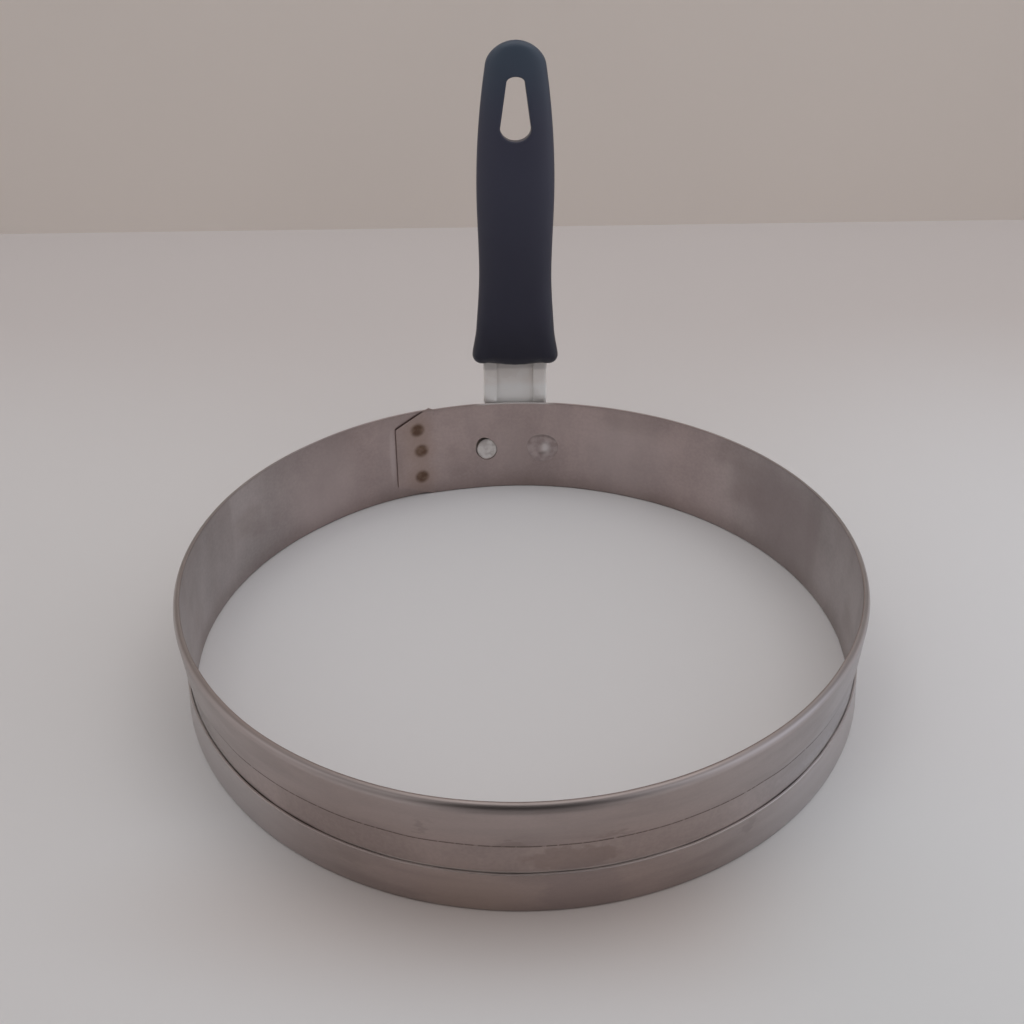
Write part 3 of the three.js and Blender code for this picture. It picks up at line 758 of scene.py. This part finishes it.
def radial_plug(outline, start, end, turn, height):
    """A plug with the given outline, along a ring radius."""
    bm = bmesh.new()
    verts, _ = closed_loop(bm, [(x, start, y) for x, y in outline])
    face = bm.faces.new(verts)
    moved = bmesh.ops.extrude_face_region(bm, geom=[face])["geom"]
    bmesh.ops.translate(bm, vec=(0, end - start, 0), verts=[g for g in moved if isinstance(g, bmesh.types.BMVert)])
    bmesh.ops.translate(bm, vec=(0, 0, height), verts=bm.verts)
    bmesh.ops.rotate(bm, verts=bm.verts, cent=(0, 0, 0), matrix=Matrix.Rotation(turn, 3, "Z"))
    return bm


def hole_outline(torn):
    """Outline of a rivet hole; the left one is torn towards its upper left."""
    tears, tall, drop = (HOLE_TEARS, SUNK_TALL, SUNK_DROP) if torn else ((), 1, 0)
    points = []
    for i in range(HOLE_STEPS):
        angle = math.tau * i / HOLE_STEPS
        radius = RIVET_HOLE + bumps(angle, tears)
        points.append((radius * math.cos(angle), radius * math.sin(angle) * tall - drop))
    return points


def ring():
    """The strip with its tongue and its two rivet holes."""
    bm = combine(folded_strip(), lap_tongue(), "UNION")
    for side, torn in ((1, True), (-1, False)):
        plug = radial_plug(hole_outline(torn), RING_INNER - 2, WALL_OUTER + 0.6, side * RIVET_ANGLE, RIVET_HEIGHT)
        bm = combine(bm, plug, "DIFFERENCE")
    return finish_piece("ring", bm, ring_steel(), "ring_strip")


# Rivets
def turned(profile, steps):
    """A shape turned about the Y axis from points of radius and place along the axis."""
    bm = bmesh.new()
    verts = [bm.verts.new((radius, along, 0)) for radius, along in profile]
    edges = [bm.edges.new(pair) for pair in zip(verts, verts[1:])]
    bmesh.ops.spin(
        bm, geom=verts + edges, cent=(0, 0, 0), axis=(0, 1, 0), dvec=(0, 0, 0),
        angle=2 * math.pi, steps=steps, use_merge=True,
    )
    bmesh.ops.remove_doubles(bm, verts=bm.verts, dist=1e-4)
    return bm


def rivet(name, side, rolled, material):
    """A rivet with a domed head outside, and inside either a flattened rolled head or an end sunk in its hole."""
    head_seat = TANG_INNER + TANG_SHEET + SEAT_GAP
    crown = (RIVET_HEAD ** 2 + RIVET_HEAD_RISE ** 2) / (2 * RIVET_HEAD_RISE)
    spread = math.asin(RIVET_HEAD / crown)
    dome_turns = [spread * (1 - i / 14) for i in range(15)]
    dome = [(crown * math.sin(t), head_seat + RIVET_HEAD_RISE - crown + crown * math.cos(t)) for t in dome_turns]
    seat = RING_INNER - ROLLED_GAP
    face = seat - ROLLED_HEIGHT
    sunk = RING_INNER + SUNK_DEPTH
    if rolled:
        cup = face + ROLLED_CUP
        end = [
            (0, cup), (0.8, cup), (1.6, cup - 0.03), (2.2, cup - 0.14), (2.7, cup - 0.34), (3.1, face + 0.06),
            (3.5, face), (4.0, face + 0.02), (4.6, face + 0.1), (5.1, face + 0.2), (5.35, face + 0.28),
            (ROLLED_HEAD, face + 0.36), (ROLLED_HEAD - 0.06, seat), (RIVET_SHANK, seat),
        ]
    else:
        end = [
            (0, sunk - 0.08), (1.2, sunk - 0.07), (2.2, sunk - 0.05), (2.8, sunk - 0.02), (3.2, sunk + 0.02),
            (3.45, sunk + 0.08), (SUNK_END, sunk + 0.2), (SUNK_END, sunk + 0.5), (RIVET_SHANK, sunk + 0.8),
        ]
    bm = turned([*end, (RIVET_SHANK, head_seat), *dome], 64)
    for v in bm.verts:
        if v.co.y > RING_INNER + 0.7:
            continue
        angle = math.atan2(v.co.z, v.co.x)
        reach = math.hypot(v.co.x, v.co.z)
        uneven = noise.noise(Vector((v.co.x * 0.5, v.co.z * 0.5, 3.0 * side)))
        if rolled:
            v.co.y += math.sqrt(RING_INNER ** 2 - v.co.x ** 2) - RING_INNER
            v.co.y += HAMMERED * uneven * smooth(0, 2, reach) * (1 - smooth(4.4, 5.4, reach))
            v.co.y += ROLLED_TILT * v.co.x * (1 - smooth(1.8, 2.8, reach))
            rim = Vector((math.cos(angle), math.sin(angle), 0.5))
            wave = ROLLED_WAVE * math.sin(3 * angle + 0.6) + ROLLED_WAVE * noise.noise(rim * 2)
            grow = 1 + wave * smooth(3, 4.5, reach)
        else:
            v.co.y += HAMMERED * uneven
            grow = 1 - bumps(angle, SUNK_FLATS) * smooth(1, 3, reach)
        tall, drop = (1, 0) if rolled else (SUNK_TALL, SUNK_DROP)
        v.co.x *= grow
        v.co.z = v.co.z * grow * tall - drop
    bmesh.ops.translate(bm, vec=(0, 0, RIVET_HEIGHT), verts=bm.verts)
    bmesh.ops.rotate(bm, verts=bm.verts, cent=(0, 0, 0), matrix=Matrix.Rotation(side * RIVET_ANGLE, 3, "Z"))
    return finish_piece(name + "_end", bm, material, name, 40)


# Tang
def tang():
    """The CAD sheet with its loose triangles merged and the ends of its folded edges brought down to the rim."""
    bm = bmesh.new()
    bm.from_mesh(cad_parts["handle_tang"].data)
    bmesh.ops.scale(bm, vec=(1 / MM,) * 3, verts=bm.verts)
    bmesh.ops.remove_doubles(bm, verts=bm.verts, dist=1e-3)
    flap_ends = [v for v in bm.verts if v.co.y < TANG_INNER - 0.05 and RING_HEIGHT < v.co.z < RING_HEIGHT + 1.2]
    for v in flap_ends:
        v.co.z -= FLAP_DROP + FLAP_SIDE_DROP * (v.co.x / TANG_HALF_WIDTH) ** 2
    return finish_piece("tang", bm, zinc_sheet(), "handle_tang", 40)


# Grip
def grip_half_width(length):
    """Half the grip's width at a length: lip, flare, waist, belly, taper and round end."""
    lip = 1 - smooth(0, LIP_LENGTH, length)
    flare = 1 - smooth(0, WAIST_AT, length)
    belly = smooth(WAIST_AT, BELLY_AT, length)
    taper = max(0.0, (length - BELLY_AT) / (GRIP_LENGTH - BELLY_AT))
    side = WAIST_WIDE + LIP * lip + FLARE * flare + belly * (BELLY_WIDE - WAIST_WIDE) - TAPER * taper ** 2
    corner = max(0.0, MOUTH_CORNER - length)
    mouth = MOUTH_CORNER - math.sqrt(MOUTH_CORNER ** 2 - corner ** 2)
    past = max(0.0, length - (GRIP_LENGTH - END_LENGTH)) / END_LENGTH
    return (side - mouth) * math.sqrt(max(END_BLUNT, 1 - past ** 2))


def grip_half_depth(length):
    """Half the grip's depth at a length, with both ends rounded over."""
    flare = 1 - smooth(0, DEPTH_WAIST_AT, length)
    end = smooth(DEPTH_END_FROM, GRIP_LENGTH, length)
    side = mix(WAIST_DEEP, MOUTH_DEEP, flare) + end * (END_DEEP - WAIST_DEEP)
    edge = max(0.0, EDGE_ROUND - min(length, GRIP_LENGTH - length))
    return side - (EDGE_ROUND - math.sqrt(EDGE_ROUND ** 2 - edge ** 2)) * EDGE_DEPTH


def grip_body():
    """A grid rolled up round the grip's length, squarer at the mouth, whose front lip rises at two places."""
    bm = bmesh.new()
    bmesh.ops.create_grid(bm, x_segments=112, y_segments=130, size=1)
    for v in bm.verts:
        angle = math.pi * v.co.x
        share = (v.co.y + 1) / 2
        length = GRIP_LENGTH * mix(share, (1 - math.cos(math.pi * share)) / 2, ROWS_AT_ENDS)
        flare = 1 - smooth(0, DEPTH_WAIST_AT, length)
        power = 2 / mix(SQUARENESS, MOUTH_SQUARENESS, flare)
        cos, sin = math.cos(angle), math.sin(angle)
        across = math.copysign(abs(cos) ** power, cos) * grip_half_width(length)
        back = math.copysign(abs(sin) ** power, sin) * grip_half_depth(length)
        lift = MOUTH_LIFT * math.exp(-((abs(across) - MOUTH_LIFT_AT) / MOUTH_LIFT_WIDE) ** 2)
        lift *= (1 - smooth(0, MOUTH_LIFT_TALL, length)) * smooth(0, 2, -back)
        v.co = (across, back, length + lift)
    bmesh.ops.remove_doubles(bm, verts=bm.verts, dist=1e-4)
    fill_open_ends(bm)
    return bm


def hang_hole_outline(grow):
    """Two flat arcs joined by straight sides, grown outward by a distance."""
    top = GRIP_LENGTH - HOLE_TOP
    low = top - HOLE_LENGTH
    upper = arc(0, top - HOLE_TOP_ARCH, HOLE_NARROW + grow, HOLE_TOP_ARCH + grow, 0, 2, 20)
    lower = arc(0, low + HOLE_LOW_ARCH, HOLE_WIDE + grow, HOLE_LOW_ARCH + grow, 2, 4, 28)
    return upper + lower


def hang_hole():
    """Cutter through the grip whose edges round over where it meets both faces."""
    face = grip_half_depth(GRIP_LENGTH - HOLE_TOP - HOLE_LENGTH / 2) - 0.1
    turns = [math.pi / 2 * i / 5 for i in range(6)]
    rows = [(face + 4, HOLE_ROUND)]
    rows += [(face - HOLE_ROUND * (1 - math.cos(t)), HOLE_ROUND * (1 - math.sin(t))) for t in turns]
    rows += [(-y, grow) for y, grow in reversed(rows)]
    bm = bmesh.new()
    loops = [closed_loop(bm, [(x, y, z) for x, z in hang_hole_outline(grow)])[1] for y, grow in rows]
    for first, second in zip(loops, loops[1:]):
        bmesh.ops.bridge_loops(bm, edges=first + second)
    fill_open_ends(bm)
    return bm


def grip():
    """The moulding with its hang hole and the tang's slot, leant back and set a little askew."""
    bm = combine(grip_body(), hang_hole(), "DIFFERENCE")
    slot = bmesh.new()
    bmesh.ops.create_cube(slot, size=1)
    bmesh.ops.scale(slot, vec=(SLOT.x, SLOT.y, 2 * SLOT.z), verts=slot.verts)
    bm = combine(bm, slot, "DIFFERENCE")
    bmesh.ops.rotate(bm, verts=bm.verts, cent=(0, 0, 0), matrix=Matrix.Rotation(-GRIP_LEAN, 3, "X"))
    bmesh.ops.translate(bm, vec=GRIP_MOUTH, verts=bm.verts)
    pivot = (0, 0, RIVET_HEIGHT)
    bmesh.ops.rotate(bm, verts=bm.verts, cent=pivot, matrix=Matrix.Rotation(HANDLE_TILT, 3, "Y"))
    return finish_piece("grip_moulding", bm, grip_plastic(), "grip", 38)


# Stage
def stage_plane(name, corners, colour, roughness, light_and_shade_patches=()):
    """A painted plane; its patches of painted light and shade are soft patches of another tone: point, stretch, full
    and no reach, tone, weight.
    """
    bm = bmesh.new()
    bm.faces.new([bm.verts.new(c) for c in corners])
    mesh = bpy.data.meshes.new(name)
    bm.to_mesh(mesh)
    bm.free()
    material, tree, shader = new_material(name + " paint", Roughness=roughness)
    where = node(tree, "ShaderNodeTexCoord").outputs["Object"]
    dark, light = (tuple(c * gain for c in colour) + (1,) for gain in (0.98, 1.02))
    paint = blend(tree, stains(tree, where, 3.0, 0.3, 0.7), dark, light)
    for point, stretch, full, none, tone, weight in light_and_shade_patches:
        paint = tinted(tree, paint, tone, near(tree, where, point, full, none, stretch), weight)
    tree.links.new(paint, shader.inputs["Base Color"])
    mesh.materials.append(material)
    obj = bpy.data.objects.new(name, mesh)
    scene.collection.objects.link(obj)
    return obj, tree, shader


def seen_from_front_only(tree, shader):
    """Makes a backdrop clear from behind, so that views from there aren't blocked."""
    clear = node(tree, "ShaderNodeBsdfTransparent").outputs[0]
    behind = node(tree, "ShaderNodeNewGeometry").outputs["Backfacing"]
    mixed = node(tree, "ShaderNodeMixShader", {0: behind, 1: shader.outputs[0], 2: clear})
    tree.links.new(mixed.outputs[0], tree.nodes["Material Output"].inputs["Surface"])


def stage():
    """A pale worktop with painted shadow and light, a backdrop, and a dark flag in front that the steel reflects."""
    back = BACKDROP_AT
    light_and_shade_patches = (
        # Painted shadow in front of the ring, painted cool light at its front right, painted shade towards the
        # backdrop, painted light on the right, painted shade on the left, and plain paint again inside the ring.
        ((0, -0.092, 0), (0.28, 1, 1), 0.0, 0.036, (0.56, 0.48, 0.44, 1), 0.9),
        ((0.095, -0.105, 0), (1, 1, 1), 0.02, 0.07, (0.75, 0.775, 0.785, 1), 0.6),
        ((0, back, 0), (0.0, 1, 1), 0.12, 0.36, (0.655, 0.61, 0.597, 1), 0.9),
        ((0.2, -0.06, 0), (1, 0.5, 1), 0.03, 0.17, (0.84, 0.85, 0.875, 1), 0.8),
        ((-0.2, 0.0, 0), (1, 0.5, 1), 0.02, 0.15, (0.72, 0.70, 0.695, 1), 0.6),
        ((0, 0, 0), (1, 1, 1), 0.0925, 0.0940, (0.76, 0.752, 0.758, 1), 1.0),
    )
    floor = [(-3, -3, 0), (3, -3, 0), (3, back, 0), (-3, back, 0)]
    stage_plane("worktop", floor, (0.76, 0.75, 0.752), 0.6, light_and_shade_patches)
    wall = [(-3, back, -0.002), (3, back, -0.002), (3, back, 2.4), (-3, back, 2.4)]
    _, tree, shader = stage_plane("backdrop", wall, (0.84, 0.765, 0.705), 0.8)
    seen_from_front_only(tree, shader)
    flag = [(-0.15, -0.36, 0.10), (0.15, -0.36, 0.10), (0.15, -0.36, 0.75), (-0.15, -0.36, 0.75)]
    dark, _, _ = stage_plane("dark_flag", flag, (0.03, 0.028, 0.028), 0.9)
    dark.visible_camera = False


def room():
    """Soft light from above, brighter and cooler from the right, dimmer behind the camera."""
    world = bpy.data.worlds.new("room")
    scene.world = world
    world.use_nodes = True
    tree = world.node_tree
    x, y, z = split(tree, node(tree, "ShaderNodeTexCoord").outputs["Generated"])
    colour = blend(tree, ease(tree, z, 0.0, 0.9), (0.66, 0.64, 0.64, 1), (0.86, 0.85, 0.86, 1))
    colour = tinted(tree, colour, (1.25, 1.33, 1.46, 1), ease(tree, x, 0.2, 0.95), 0.8)
    front = times(tree, ease(tree, y, -0.2, -0.8), ease(tree, z, 0.9, 0.4))
    colour = tinted(tree, colour, (0.20, 0.19, 0.19, 1), front, 0.7)
    background = tree.nodes["Background"]
    tree.links.new(colour, background.inputs["Color"])
    background.inputs["Strength"].default_value = 0.79


def top_light():
    """A large soft light overhead."""
    data = bpy.data.lights.new("top light", "AREA")
    data.shape = "RECTANGLE"
    data.size = 1.2
    data.size_y = 0.7
    data.energy = 2.4
    data.color = (1.0, 0.985, 0.975)
    obj = bpy.data.objects.new("top light", data)
    scene.collection.objects.link(obj)
    obj.location = (0.1, 0.1, 1.0)
    obj.rotation_euler = (math.radians(-8), 0, 0)


def camera():
    """Camera in front of the ring and above it, looking down at about 32 degrees."""
    focal, frame_px, sensor = 1163.83, 1024, 36.0
    turn = math.radians(-1.22)
    place = Matrix.Rotation(turn, 3, "Z") @ Vector((0, -0.2695, 0.2144))
    yaw, pitch, roll = -0.00879 - turn, 0.55639, -0.0100
    ahead = Vector((math.sin(yaw) * math.cos(pitch), math.cos(yaw) * math.cos(pitch), -math.sin(pitch)))
    right = Vector((math.cos(yaw), -math.sin(yaw), 0))
    up = right.cross(ahead)
    rolled_right = math.cos(roll) * right + math.sin(roll) * up
    rolled_up = math.cos(roll) * up - math.sin(roll) * right
    data = bpy.data.cameras.new("camera")
    data.sensor_width = sensor
    data.lens = focal / frame_px * sensor
    data.clip_start = 0.01
    obj = bpy.data.objects.new("camera", data)
    scene.collection.objects.link(obj)
    matrix = Matrix((rolled_right, rolled_up, -ahead)).transposed().to_4x4()
    matrix.translation = place
    obj.matrix_world = matrix
    scene.camera = obj


camera()
stage()
room()
top_light()
ring()
tang()
bright_rivet = rivet_steel("bright rivet steel", (0.74, 0.71, 0.69, 1), (0.60, 0.56, 0.54, 1))
# Place of the painted highlight on the right rivet's rolled head.
highlight_place = (0.0109, 0.0925, 0.0158)
dull_rivet = rivet_steel("dull rivet steel", (0.47, 0.395, 0.385, 1), (0.40, 0.33, 0.32, 1), highlight_place)
rivet("rivet_left", 1, False, bright_rivet)
rivet("rivet_right", -1, True, dull_rivet)
grip()
